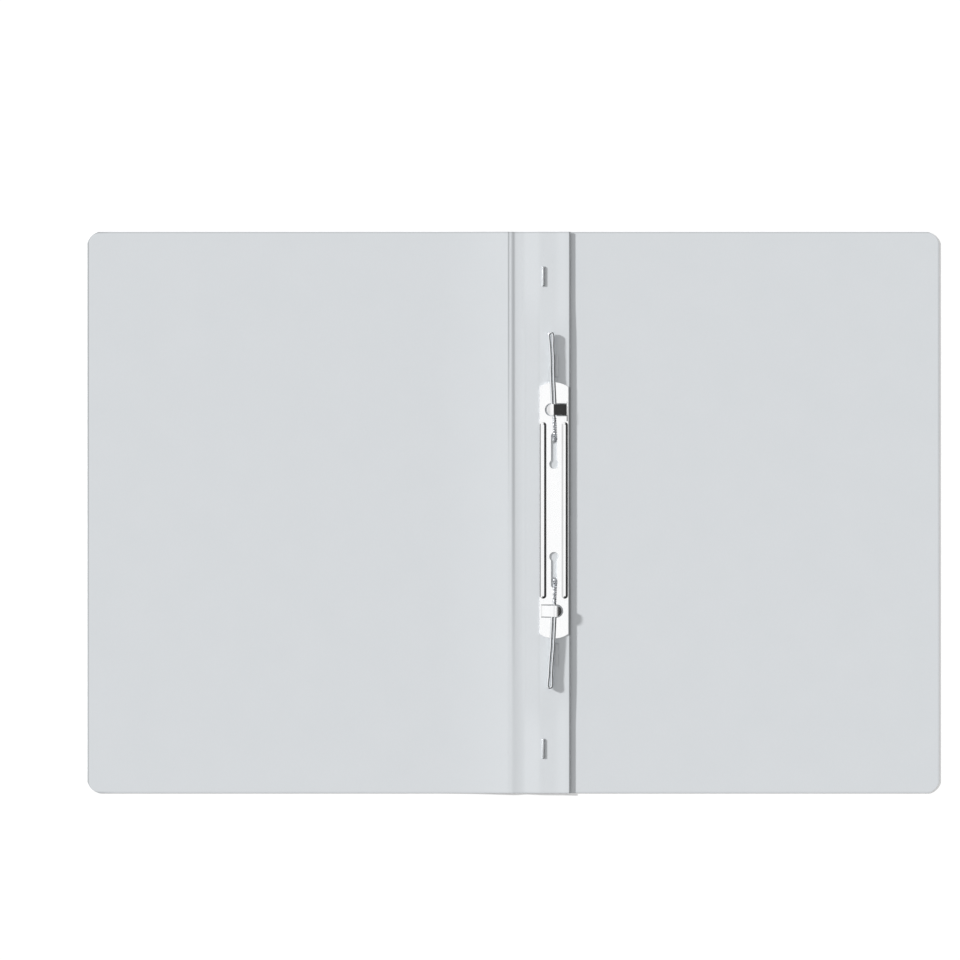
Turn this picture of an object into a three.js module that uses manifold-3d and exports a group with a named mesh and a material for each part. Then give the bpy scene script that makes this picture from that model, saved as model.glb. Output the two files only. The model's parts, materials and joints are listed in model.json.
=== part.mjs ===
// An open A4 card folder with a two-prong metal filing mechanism, lying flat on its covers.
// Millimetres, +Z up, X across the open folder, Y along the fold. The pieces are placed from the
// back fold (x = 0, between the spine band and the filing strip); the whole folder is then
// centred on its footprint.
import * as THREE from "three";
import { mergeVertices } from "three/addons/utils/BufferGeometryUtils.js";
import Module from "manifold-3d";

const wasm = await Module();
wasm.setup();

// Card sheets
const CARD = 0.45;
const SHEET_HEIGHT = 318;
const FRONT_WIDTH = 238;
const BACK_WIDTH = 240;
const SPINE_WIDTH = 4.4;
const FOLD_GAP = 0.3;
const CORNER_REACH = 6.3;
const CORNER_RADIUS = 9;

// Filing strip: glued along the fold, then raised over the base rail, lower again at its ends
const STRIP_WIDTH = 31;
const STRIP_GLUED = 5;
const STRIP_RAMP = 9.5;
const STRIP_END_LIFT = 0.45;
const STRIP_OVERRUN = 1;
const STRIP_SETTLED_BEFORE = 6;

// Mechanism centre line and hole spacing
const MECHANISM_X = 21.8;
const MECHANISM_Y = 1.2;
const HOLE_SPACING = 80;

// Base rail: a shallow channel, open below, with two claws folded over the strip
const RAIL_SHEET = 0.5;
const BASE_WIDTH = 14;
const BASE_LENGTH = 188;
const BASE_HEIGHT = 1;
const CLAW_ROOT = 75.6;
const CLAW_LENGTH = 13;
const CLAW_WIDTH = 2;
const CLAW_SHIFT = 1.55;
const CLAW_PLAY = 0.2;

// Cover rail with keyhole slots, stiffening beads and two lanced spring clips
const RAIL_WIDTH = 16.2;
const RAIL_LENGTH = 145;
const RAIL_BULGE = 2.6;
const KEYHOLE_SPACING = 52.4;
const KEYHOLE_DIAMETER = 5.3;
const SLOT_WIDTH = 3.4;
const BEAD_LENGTH = 100;
const BEAD_WIDTH = 3.1;
const BEAD_HEIGHT = 0.45;
const BEAD_SPACING = 12.4;
const CLIP_SPACING = 114;
const CLIP_WIDTH = 6.4;
const CLIP_ROOT = 6.5;
const CLIP_TIP = 4.2;
const CLIP_CUT = 0.5;
const CLIP_TIP_GAP = 1;
const CLIP_CROWN_PLAY = 0.5;
const CLIP_TIP_PLAY = 0.14;

// Spiral springs
const SPRING_WIRE = 0.5;
const SPRING_DIAMETER = 2.5;
const SPRING_PITCH = 1;
const SPRING_BEND = 2.1;
const SPRING_REACH = 12.8;
const SPRING_PLAY = 0.1;

// Prongs: a wire bent double, with a stem in the spring and a round eye at the tip
const PRONG_WIRE = 1.25;
const PRONG_REACH = 61.2;
const PRONG_STEM = 3;
const PRONG_NARROW = 0.7;
const PRONG_WIDE = 1.1;
const EYE_RADIUS = 1.75;
const CROSSING_LENGTH = 6;
const FIRST_CROSSING = 36.5;
const SECOND_CROSSING = 50.5;
const PRONG_LEAN = THREE.MathUtils.degToRad(2.66);

// Studs that hold the springs in the base rail
const STUD_SHANK = 1.1;
const STUD_HEAD = 4;
const STUD_HEAD_HEIGHT = 0.4;
const STUD_RISE = 0.6;

// Flat-wire staples near the ends of the strip
const STAPLE_CROWN = 11.4;
const STAPLE_WIDTH = 1.6;
const STAPLE_THICKNESS = 0.6;
const STAPLE_INSET = 25.2;
const STAPLE_X = 15.9;
const STAPLE_PLAY = 0.15;
const HOLE_PLAY = 0.3;

// Heights worked out from the stack of pieces
const STRIP_GLUED_TOP = 2 * CARD;
const BASE_TOP = CARD + BASE_HEIGHT;
const STRIP_LIFT = BASE_HEIGHT;
const STRIP_TOP = BASE_TOP + CARD;
const RAIL_TOP = STRIP_TOP + RAIL_SHEET;
const SPRING_AXIS = RAIL_TOP + SPRING_PLAY + SPRING_DIAMETER / 2;
const SPRING_COIL_RADIUS = (SPRING_DIAMETER - SPRING_WIRE) / 2;
const SPRING_FOOT = SPRING_AXIS - SPRING_BEND;
const PRONG_TOP = SPRING_AXIS + PRONG_WIRE / 2;
const ROOT_OFFSET = HOLE_SPACING / 2;
const STAPLE_Y = SHEET_HEIGHT / 2 - STAPLE_INSET;

const card = { color: 0xd5dadd, roughness: 0.85, metalness: 0 };
const nickel = { color: 0xdadde0, roughness: 0.24, metalness: 1 };
const zinc = { color: 0xb4b8bc, roughness: 0.42, metalness: 1 };

// Closed geometry to solid and back, for the cuts and joins below
function solidOf(geometry) {
  const bare = geometry.index ? geometry.toNonIndexed() : geometry.clone();
  bare.deleteAttribute("normal");
  bare.deleteAttribute("uv");
  const merged = mergeVertices(bare, 1e-5);
  return new wasm.Manifold(new wasm.Mesh({
    numProp: 3,
    vertProperties: new Float32Array(merged.attributes.position.array),
    triVerts: new Uint32Array(merged.index.array),
  }));
}

function geometryOf(solid) {
  const mesh = solid.getMesh();
  const geometry = new THREE.BufferGeometry();
  geometry.setAttribute("position", new THREE.BufferAttribute(mesh.vertProperties, 3));
  geometry.setIndex(new THREE.BufferAttribute(mesh.triVerts, 1));
  geometry.computeVertexNormals();
  return geometry;
}

function named(name, geometry, look) {
  const mesh = new THREE.Mesh(geometry, new THREE.MeshStandardMaterial(look));
  mesh.name = name;
  return mesh;
}

// A flat outline in XY, raised from one height to another
function raised(outline, bottom, top, curveSegments = 12) {
  const settings = { depth: top - bottom, bevelEnabled: false, curveSegments };
  return new THREE.ExtrudeGeometry(outline, settings).translate(0, 0, bottom);
}

function box(width, length, bottom, top, x = 0, y = 0) {
  const block = new THREE.BoxGeometry(width, length, top - bottom);
  return block.translate(x, y, (bottom + top) / 2);
}

function rod(diameter, bottom, top, x = 0, y = 0, segments = 16) {
  const pin = new THREE.CylinderGeometry(diameter / 2, diameter / 2, top - bottom, segments);
  return pin.rotateX(Math.PI / 2).translate(x, y, (bottom + top) / 2);
}

// A section drawn in X and Z, run along Y and centred on y = 0
function runAlongY(section, length) {
  const settings = { depth: length, bevelEnabled: false, curveSegments: 8 };
  return new THREE.ExtrudeGeometry(section, settings)
    .rotateX(Math.PI / 2)
    .translate(0, length / 2, 0);
}

// A slot with round ends, long in Y
function stadium(width, length) {
  const outline = new THREE.Shape();
  const straight = (length - width) / 2;
  outline.absarc(0, straight, width / 2, 0, Math.PI, false);
  outline.absarc(0, -straight, width / 2, Math.PI, 2 * Math.PI, false);
  return outline;
}

// A cover from its fold edge out to two corners cut off by shallow arcs, drawn to the right; the
// arc's centre is as far in from both edges, so that it leaves each of them at the same angle
function coverOutline(foldEdge, width) {
  const half = SHEET_HEIGHT / 2;
  const outer = foldEdge + width;
  const chord = Math.sqrt(2 * CORNER_RADIUS ** 2 - CORNER_REACH ** 2);
  const inset = (CORNER_REACH + chord) / 2;
  const leave = Math.atan2(inset - CORNER_REACH, inset);
  const turn = Math.PI / 2 - leave;
  const outline = new THREE.Shape();
  outline.moveTo(foldEdge, half);
  outline.lineTo(foldEdge, -half);
  outline.absarc(outer - inset, inset - half, CORNER_RADIUS, -turn, -leave, false);
  outline.absarc(outer - inset, half - inset, CORNER_RADIUS, leave, turn, false);
  return outline;
}

function frontCover() {
  const sheet = raised(coverOutline(SPINE_WIDTH + FOLD_GAP / 2, FRONT_WIDTH), 0, CARD);
  return named("front_cover", sheet.rotateZ(Math.PI), card);
}

// The band between the two folds steps from the front cover's level up to the strip's
function spine() {
  const left = FOLD_GAP / 2 - SPINE_WIDTH;
  const right = -FOLD_GAP / 2;
  const section = new THREE.Shape();
  section.moveTo(left, 0);
  section.lineTo(right, CARD);
  section.lineTo(right, STRIP_GLUED_TOP);
  section.lineTo(left, CARD);
  return named("spine", runAlongY(section, SHEET_HEIGHT), card);
}

const smooth = THREE.MathUtils.smoothstep;

// Where the strip leaves the base rail, and where it has settled before it meets the staple
function leavesRail(end) {
  return MECHANISM_Y + end * (BASE_LENGTH / 2 + STRIP_OVERRUN);
}

function settles(end) {
  return end * (STAPLE_Y - STAPLE_CROWN / 2 - STRIP_SETTLED_BEFORE);
}

// How far the strip is lifted off the back cover at a point
function stripLift(x, y) {
  const across = smooth(x, STRIP_GLUED, STRIP_GLUED + STRIP_RAMP);
  const end = y > MECHANISM_Y ? 1 : -1;
  const settled = smooth(end * y, end * leavesRail(end), end * settles(end));
  return across * THREE.MathUtils.lerp(STRIP_LIFT, STRIP_END_LIFT, settled);
}

// Cutting lines for the strip's grid: fine where it bends, single faces where it is flat
function stations(stops) {
  const lines = [];
  for (const [from, to, steps] of stops) {
    for (let step = 0; step < steps; step += 1) {
      lines.push(THREE.MathUtils.lerp(from, to, step / steps));
    }
  }
  lines.push(stops[stops.length - 1][1]);
  return lines;
}

function stripBlank() {
  const left = FOLD_GAP / 2;
  const right = left + STRIP_WIDTH;
  const rampEnd = STRIP_GLUED + STRIP_RAMP;
  const half = SHEET_HEIGHT / 2;
  const [low, high] = [leavesRail(-1), leavesRail(1)];
  const xs = stations([[left, STRIP_GLUED, 1], [STRIP_GLUED, rampEnd, 6], [rampEnd, right, 1]]);
  const ys = stations([
    [-half, settles(-1), 1], [settles(-1), low, 6], [low, high, 1],
    [high, settles(1), 6], [settles(1), half, 1],
  ]);
  const sheet = new THREE.BoxGeometry(1, 1, CARD, xs.length - 1, ys.length - 1, 1);
  const place = sheet.attributes.position;
  for (let index = 0; index < place.count; index += 1) {
    const x = xs[Math.round((place.getX(index) + 0.5) * (xs.length - 1))];
    const y = ys[Math.round((place.getY(index) + 0.5) * (ys.length - 1))];
    place.setXYZ(index, x, y, CARD * 1.5 + place.getZ(index) + stripLift(x, y));
  }
  return sheet;
}

// Holes for the legs of both staples, through the strip and the back cover alike
function stapleHoles() {
  const holes = [];
  for (const end of [1, -1]) {
    for (const side of [1, -1]) {
      const leg = side * (STAPLE_CROWN - STAPLE_THICKNESS) / 2;
      const y = end * STAPLE_Y + leg;
      const width = STAPLE_WIDTH + 2 * STAPLE_PLAY;
      const length = STAPLE_THICKNESS + 2 * STAPLE_PLAY;
      holes.push(solidOf(box(width, length, -1, STRIP_TOP + 1, STAPLE_X, y)));
    }
  }
  return holes;
}

function cutAll(solid, tools) {
  return tools.reduce((rest, tool) => rest.subtract(tool), solid);
}

function filingStrip() {
  const tools = stapleHoles();
  for (const end of [1, -1]) {
    const bore = SPRING_DIAMETER + 2 * HOLE_PLAY;
    const rootY = MECHANISM_Y + end * ROOT_OFFSET;
    tools.push(solidOf(rod(bore, BASE_TOP - 1, STRIP_TOP + 1, MECHANISM_X, rootY)));
    const slitWidth = CLAW_WIDTH + 2 * CLAW_PLAY;
    const slitLength = RAIL_SHEET + 2 * CLAW_PLAY;
    const slitY = MECHANISM_Y + end * (CLAW_ROOT + RAIL_SHEET / 2);
    const slitX = MECHANISM_X + CLAW_SHIFT;
    tools.push(solidOf(box(slitWidth, slitLength, BASE_TOP - 1, STRIP_TOP + 1, slitX, slitY)));
  }
  return named("filing_strip", geometryOf(cutAll(solidOf(stripBlank()), tools)), card);
}

function backCover() {
  const blank = solidOf(raised(coverOutline(FOLD_GAP / 2, BACK_WIDTH), 0, CARD));
  return named("back_cover", geometryOf(cutAll(blank, stapleHoles())), card);
}

function staple(name, end) {
  const bottom = 0;
  const seat = STRIP_GLUED_TOP + STRIP_END_LIFT;
  const half = STAPLE_CROWN / 2;
  const inner = half - STAPLE_THICKNESS;
  const shoulder = STAPLE_THICKNESS;
  const section = new THREE.Shape();
  section.moveTo(-half, bottom);
  section.lineTo(-inner, bottom);
  section.lineTo(-inner, seat);
  section.lineTo(inner, seat);
  section.lineTo(inner, bottom);
  section.lineTo(half, bottom);
  section.absarc(half - shoulder, seat, shoulder, 0, Math.PI / 2, false);
  section.absarc(shoulder - half, seat, shoulder, Math.PI / 2, Math.PI, false);
  const wire = runAlongY(section, STAPLE_WIDTH).rotateZ(Math.PI / 2);
  return named(name, wire.translate(STAPLE_X, end * STAPLE_Y, 0), zinc);
}

// A claw lanced from the web, bent up through the strip and folded flat over it
function claw() {
  const outerFace = CLAW_ROOT + RAIL_SHEET;
  const upright = box(CLAW_WIDTH, RAIL_SHEET, BASE_TOP - RAIL_SHEET, RAIL_TOP,
    CLAW_SHIFT, (CLAW_ROOT + outerFace) / 2);
  const flap = raised(stadium(CLAW_WIDTH, CLAW_LENGTH), STRIP_TOP, RAIL_TOP, 8);
  flap.translate(CLAW_SHIFT, CLAW_ROOT + CLAW_LENGTH / 2, 0);
  return solidOf(upright).add(solidOf(flap));
}

function clawWindow() {
  const inner = CLAW_ROOT - CLAW_LENGTH;
  return solidOf(box(CLAW_WIDTH + 2 * CLAW_PLAY, CLAW_LENGTH, CARD, BASE_TOP + 1,
    CLAW_SHIFT, (inner + CLAW_ROOT) / 2));
}

function baseRail() {
  const half = BASE_WIDTH / 2;
  const wall = half - RAIL_SHEET;
  const webBottom = BASE_TOP - RAIL_SHEET;
  const section = new THREE.Shape();
  section.moveTo(-half, CARD);
  section.lineTo(-wall, CARD);
  section.lineTo(-wall, webBottom);
  section.lineTo(wall, webBottom);
  section.lineTo(wall, CARD);
  section.lineTo(half, CARD);
  section.lineTo(half, BASE_TOP);
  section.lineTo(-half, BASE_TOP);
  let rail = solidOf(runAlongY(section, BASE_LENGTH));
  for (const turned of [0, 1]) {
    const mirror = turned ? [0, 1, 0] : null;
    const bore = rod(STUD_SHANK + 2 * STAPLE_PLAY, CARD, BASE_TOP + 1, 0, ROOT_OFFSET);
    const tools = [clawWindow(), solidOf(bore)];
    const placed = tools.map((tool) => (mirror ? tool.mirror(mirror) : tool));
    const grip = mirror ? claw().mirror(mirror) : claw();
    rail = cutAll(rail, placed).add(grip);
  }
  const mesh = named("base_rail", geometryOf(rail), zinc);
  mesh.position.set(MECHANISM_X, MECHANISM_Y, 0);
  return mesh;
}

function railOutline() {
  const half = RAIL_WIDTH / 2;
  const radius = (half * half + RAIL_BULGE * RAIL_BULGE) / (2 * RAIL_BULGE);
  const centre = RAIL_LENGTH / 2 - radius;
  const start = Math.atan2(radius - RAIL_BULGE, half);
  const outline = new THREE.Shape();
  outline.absarc(0, centre, radius, start, Math.PI - start, false);
  outline.absarc(0, -centre, radius, Math.PI + start, 2 * Math.PI - start, false);
  return outline;
}

// A pressed bead: the round top of a long button, or the same shape smaller for its hollow side
function bead(width, length, height) {
  const round = width * 0.28;
  const core = stadium(width - 2 * round, length - 2 * round);
  return new THREE.ExtrudeGeometry(core, {
    depth: 0.02, bevelEnabled: true, bevelThickness: height, bevelSize: round, bevelSegments: 2,
    curveSegments: 6,
  });
}

function keyhole() {
  const reach = ROOT_OFFSET + SPRING_BEND + SPRING_PLAY;
  const start = KEYHOLE_SPACING / 2;
  const eye = rod(KEYHOLE_DIAMETER, STRIP_TOP - 1, RAIL_TOP + 1, 0, start, 28);
  const run = stadium(SLOT_WIDTH, reach - start + SLOT_WIDTH / 2);
  const slot = raised(run, STRIP_TOP - 1, RAIL_TOP + 1, 8);
  slot.translate(0, (reach + start - SLOT_WIDTH / 2) / 2, 0);
  return solidOf(eye).add(solidOf(slot));
}

// Outline of a clip or of its window: square at the root, round at the tip
function clipOutline(width, root, tip) {
  const radius = width / 2;
  const outline = new THREE.Shape();
  outline.moveTo(root, -radius);
  outline.lineTo(root, radius);
  outline.absarc(radius - tip, 0, radius, Math.PI / 2, 1.5 * Math.PI, false);
  return outline;
}

// The arched clip: rises from its root, crowns over the prong and drops a little to its tip
function clipTongue() {
  const crown = PRONG_TOP + CLIP_CROWN_PLAY;
  const tipLevel = PRONG_TOP + CLIP_TIP_PLAY;
  const under = new THREE.SplineCurve([
    new THREE.Vector2(CLIP_ROOT, STRIP_TOP),
    new THREE.Vector2(CLIP_ROOT * 0.68, THREE.MathUtils.lerp(STRIP_TOP, crown, 0.52)),
    new THREE.Vector2(CLIP_ROOT * 0.37, crown),
    new THREE.Vector2(0, crown),
    new THREE.Vector2(-CLIP_TIP, tipLevel),
  ]).getPoints(14);
  const above = under.map((point) => new THREE.Vector2(point.x, point.y + RAIL_SHEET));
  const anchored = CLIP_ROOT + RAIL_SHEET;
  const section = new THREE.Shape([
    new THREE.Vector2(anchored, RAIL_TOP), new THREE.Vector2(anchored, STRIP_TOP),
    ...under, ...above.reverse(),
  ]);
  const arch = solidOf(runAlongY(section, CLIP_WIDTH + 1));
  const outline = clipOutline(CLIP_WIDTH, anchored, CLIP_TIP);
  return arch.intersect(solidOf(raised(outline, STRIP_TOP, crown + 1, 16)));
}

function coverRail() {
  let rail = solidOf(raised(railOutline(), STRIP_TOP, RAIL_TOP, 24));
  for (const side of [1, -1]) {
    const x = side * BEAD_SPACING / 2;
    const proud = bead(BEAD_WIDTH, BEAD_LENGTH, BEAD_HEIGHT).translate(x, 0, RAIL_TOP);
    const hollow = bead(BEAD_WIDTH - 2 * RAIL_SHEET, BEAD_LENGTH - 2 * RAIL_SHEET, BEAD_HEIGHT);
    rail = rail.add(solidOf(proud)).subtract(solidOf(hollow.translate(x, 0, STRIP_TOP)));
  }
  const windowWidth = CLIP_WIDTH + 2 * CLIP_CUT;
  const window = clipOutline(windowWidth, CLIP_ROOT, CLIP_TIP + CLIP_TIP_GAP);
  const opening = raised(window, STRIP_TOP - 1, RAIL_TOP + 1, 16);
  const clipY = CLIP_SPACING / 2;
  for (const turn of [0, 180]) {
    const cuts = [keyhole(), solidOf(opening).translate([0, clipY, 0])];
    const tongue = clipTongue().translate([0, clipY, 0]).rotate([0, 0, turn]);
    rail = cutAll(rail, cuts.map((cut) => cut.rotate([0, 0, turn]))).add(tongue);
  }
  const mesh = named("cover_rail", geometryOf(rail), nickel);
  mesh.position.set(MECHANISM_X, MECHANISM_Y, 0);
  return mesh;
}

function roundSection(diameter, sides) {
  const outline = new THREE.Shape();
  outline.absarc(0, 0, diameter / 2, 0, 2 * Math.PI, false);
  const corners = outline.getSpacedPoints(sides);
  corners.pop();
  return new THREE.Shape(corners);
}

// A coil wound round a centre line that stands up and then bends over, outwards along +Y
class SpiralPath extends THREE.Curve {
  constructor() {
    super();
    this.stand = SPRING_FOOT - BASE_TOP - SPRING_PLAY - SPRING_WIRE / 2;
    this.arc = SPRING_BEND * Math.PI / 2;
    this.run = SPRING_REACH - SPRING_BEND;
    this.span = this.stand + this.arc + this.run;
  }

  getPoint(t, target = new THREE.Vector3()) {
    const along = t * this.span;
    const past = along - this.stand;
    const tilt = THREE.MathUtils.clamp(past / SPRING_BEND, 0, Math.PI / 2);
    const standing = Math.min(along, this.stand) - this.stand;
    const lying = Math.max(past - this.arc, 0);
    const outward = SPRING_BEND * (1 - Math.cos(tilt)) + lying;
    const height = SPRING_FOOT + standing + SPRING_BEND * Math.sin(tilt);
    const phase = 2 * Math.PI * along / SPRING_PITCH;
    const inPlane = SPRING_COIL_RADIUS * Math.cos(phase);
    return target.set(
      SPRING_COIL_RADIUS * Math.sin(phase),
      outward + inPlane * Math.cos(tilt),
      height - inPlane * Math.sin(tilt),
    );
  }
}

function spring(name) {
  const path = new SpiralPath();
  path.arcLengthDivisions = 1200;
  const steps = Math.round(10 * path.span / SPRING_PITCH);
  const wire = roundSection(SPRING_WIRE, 6);
  const settings = { steps, extrudePath: path, bevelEnabled: false };
  return named(name, new THREE.ExtrudeGeometry(wire, settings), zinc);
}

// Half the prong's spread and its twist at a distance from the root
function strandPlace(reach, side) {
  const clipEnd = (CLIP_SPACING - HOLE_SPACING) / 2 + CLIP_WIDTH;
  const start = smooth(reach, SPRING_REACH, SPRING_REACH + PRONG_WIRE);
  const parting = side < 0 ? start : 1;
  const bowed = smooth(reach, clipEnd, clipEnd + CROSSING_LENGTH);
  const crossings = [FIRST_CROSSING, SECOND_CROSSING];
  let twist = 0;
  let pinch = 0;
  for (const centre of crossings) {
    const away = CROSSING_LENGTH / 2;
    twist += Math.PI * smooth(reach, centre - away, centre + away);
    pinch = Math.max(pinch, 1 - smooth(Math.abs(reach - centre), away / 3, away * 1.3));
  }
  const body = THREE.MathUtils.lerp(PRONG_NARROW, PRONG_WIDE, bowed * (1 - pinch));
  const flare = smooth(reach, SECOND_CROSSING, SECOND_CROSSING + CROSSING_LENGTH * 0.7);
  const spread = parting * THREE.MathUtils.lerp(body, EYE_RADIUS, flare);
  return new THREE.Vector3(
    side * spread * Math.cos(twist), reach, SPRING_AXIS + side * spread * Math.sin(twist),
  );
}

function prong(name) {
  const eyeCentre = PRONG_REACH - PRONG_WIRE / 2 - EYE_RADIUS;
  const stemStart = SPRING_REACH - PRONG_STEM;
  const strandStart = SPRING_REACH + PRONG_WIRE;
  const points = [
    new THREE.Vector3(0, stemStart, SPRING_AXIS),
    new THREE.Vector3(0, stemStart + PRONG_STEM / 2, SPRING_AXIS),
    new THREE.Vector3(0, SPRING_REACH, SPRING_AXIS),
  ];
  const count = 26;
  const reaches = Array.from({ length: count }, (_, index) => (
    THREE.MathUtils.lerp(strandStart, eyeCentre, index / (count - 1))
  ));
  for (const reach of reaches) {
    points.push(strandPlace(reach, -1));
  }
  for (let turn = 1; turn < 6; turn += 1) {
    const angle = Math.PI * (1 - turn / 6);
    points.push(new THREE.Vector3(
      EYE_RADIUS * Math.cos(angle), eyeCentre + EYE_RADIUS * Math.sin(angle), SPRING_AXIS,
    ));
  }
  for (const reach of reaches.reverse()) {
    points.push(strandPlace(reach, 1));
  }
  const path = new THREE.CatmullRomCurve3(points, false, "centripetal");
  path.arcLengthDivisions = 600;
  const settings = { steps: 96, extrudePath: path, bevelEnabled: false };
  return named(name, new THREE.ExtrudeGeometry(roundSection(PRONG_WIRE, 8), settings), nickel);
}

function stud(name, end) {
  const webBottom = BASE_TOP - RAIL_SHEET;
  const y = MECHANISM_Y + end * ROOT_OFFSET;
  const head = rod(STUD_HEAD, webBottom - STUD_HEAD_HEIGHT, webBottom, MECHANISM_X, y, 20);
  const shank = rod(STUD_SHANK, webBottom - STUD_HEAD_HEIGHT / 2, BASE_TOP + STUD_RISE,
    MECHANISM_X, y, 12);
  return named(name, geometryOf(solidOf(head).add(solidOf(shank))), zinc);
}

// A spring with its prong, standing on its stud; both prongs lean a little to the fold side
function lockingArm(prefix, end) {
  const arm = new THREE.Group();
  arm.add(spring(`${prefix}_spring`), prong(`${prefix}_prong`));
  arm.position.set(MECHANISM_X, MECHANISM_Y + end * ROOT_OFFSET, 0);
  arm.rotation.z = end > 0 ? PRONG_LEAN : Math.PI - PRONG_LEAN;
  return arm;
}

const folder = new THREE.Group();
folder.name = "spring_prong_folder";
folder.add(
  frontCover(), spine(), filingStrip(), backCover(), baseRail(), coverRail(),
  stud("top_stud", 1), stud("bottom_stud", -1),
  lockingArm("top", 1), lockingArm("bottom", -1),
  staple("top_staple", 1), staple("bottom_staple", -1),
);
folder.position.x = (SPINE_WIDTH + FRONT_WIDTH - BACK_WIDTH) / 2;

export default folder;
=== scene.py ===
"""An open A4 card folder with a filing strip, a bright cover rail and two sprung wire prongs.

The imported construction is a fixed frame. Around it this script models the folded card sheets, the
pressed cover rail, the spiral springs, the bent wire prongs and the staples, gives every surface
its finish, and sets up the floor, the light and the camera. Sizes are in millimetres.
"""

from __future__ import annotations

import json
import logging
import math
from dataclasses import dataclass
from enum import Enum
from typing import Any, Callable, Iterable, Sequence, Union

import bpy
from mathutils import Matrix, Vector


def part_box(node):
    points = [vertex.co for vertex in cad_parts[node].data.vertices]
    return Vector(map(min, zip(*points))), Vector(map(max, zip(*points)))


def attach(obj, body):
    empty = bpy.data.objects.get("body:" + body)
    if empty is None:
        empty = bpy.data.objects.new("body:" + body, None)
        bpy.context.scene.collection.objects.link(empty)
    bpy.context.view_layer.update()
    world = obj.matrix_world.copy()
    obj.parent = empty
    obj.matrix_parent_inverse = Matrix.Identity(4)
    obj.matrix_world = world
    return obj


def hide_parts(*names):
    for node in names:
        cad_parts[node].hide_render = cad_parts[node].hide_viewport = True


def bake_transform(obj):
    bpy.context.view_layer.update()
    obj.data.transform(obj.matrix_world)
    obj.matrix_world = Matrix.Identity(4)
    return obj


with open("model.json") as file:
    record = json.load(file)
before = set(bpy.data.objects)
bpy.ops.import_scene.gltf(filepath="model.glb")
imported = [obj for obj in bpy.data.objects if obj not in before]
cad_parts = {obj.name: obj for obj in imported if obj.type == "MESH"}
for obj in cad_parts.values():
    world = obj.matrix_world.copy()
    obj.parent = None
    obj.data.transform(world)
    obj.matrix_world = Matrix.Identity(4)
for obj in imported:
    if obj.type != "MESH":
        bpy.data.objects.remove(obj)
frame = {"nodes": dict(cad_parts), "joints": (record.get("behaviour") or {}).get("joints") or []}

LOG = logging.getLogger("folder")
MM = 0.001
CRISP_ANGLE = 35.0

Pair = tuple[float, float]
Point = tuple[float, float, float]
Colour = tuple[float, float, float, float]
Face = tuple[int, ...]
Piece = bpy.types.Object
Surface = Callable[[float, float], float]
Feed = Union["Term", float, int, bool, str, Sequence[float], bpy.types.ID]


class Slot(Enum):
    """The record's material slots."""

    CARD = "folder_card"
    PLATE = "nickel_plate"
    WIRE = "nickel_wire"
    ZINC = "zinc_steel"


class Body(Enum):
    """The bodies that the pieces ride on."""

    BACK = "back"
    SPINE = "spine"
    FRONT = "front"
    TOP_ARM = "top_arm"
    BOTTOM_ARM = "bottom_arm"


class Cut(Enum):
    """What a boolean does with its tool."""

    JOIN = "UNION"
    REMOVE = "DIFFERENCE"
    KEEP = "INTERSECT"


def operator(operation: str, reflected: bool = False) -> Callable[[Term, Feed], Term]:
    """Makes one of the operators of a term.

    Args:
        operation: The operation of the Math node that it adds.
        reflected: Whether the other value stands first, as in 1 - mask.

    Returns:
        The method.
    """
    def method(term: Term, other: Feed) -> Term:
        """The term and the other value, put through the Math node."""
        return term.math(operation, *((other, term) if reflected else (term, other)))
    return method


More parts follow.
